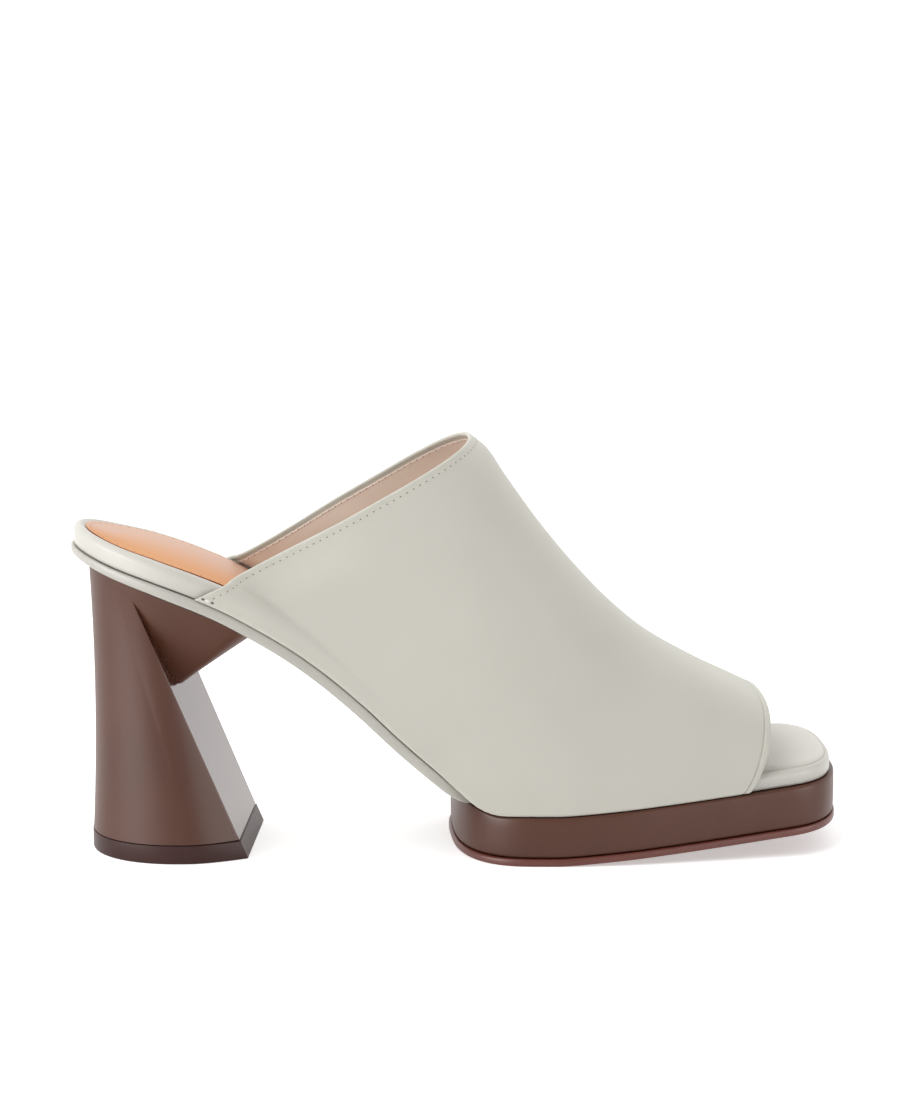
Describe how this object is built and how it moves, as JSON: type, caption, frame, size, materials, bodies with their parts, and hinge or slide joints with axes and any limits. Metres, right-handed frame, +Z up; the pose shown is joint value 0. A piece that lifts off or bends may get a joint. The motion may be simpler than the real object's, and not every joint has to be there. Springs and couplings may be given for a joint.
{
  "type": "women's platform mule",
  "caption": "Open-toe backless platform mule with a high one-piece vamp, a leaning sculpted block heel and a leather-covered platform.",
  "frame": {"origin": "centre of the bottom of the shoe's bounding box, on the floor", "axes": "+X from the back of the heel to the toe, -Y toward the outer (lateral) side of the foot, +Z up"},
  "size_m": [0.2374, 0.0793, 0.1276],
  "materials": {
    "upper_leather": "smooth off-white calf, semi-matt",
    "footbed_leather": "smooth off-white leather wrap, soft sheen",
    "sole_cover": "smooth off-white cover of the sole's edge",
    "sock_leather": "apricot kid with a satin sheen",
    "platform_leather": "glazed dark brown leather",
    "heel_leather": "glazed dark brown leather, tightly wrapped",
    "outsole_rubber": "smooth reddish brown edge",
    "lift_rubber": "dark brown, satin"
  },
  "bodies": {
    "root": {"upper": "upper_leather", "footbed": "footbed_leather", "sole": "sole_cover", "heel_sock": "sock_leather", "platform": "platform_leather", "heel_block": "heel_leather", "outsole": "outsole_rubber", "top_lift": "lift_rubber"}
  },
  "joints": []
}
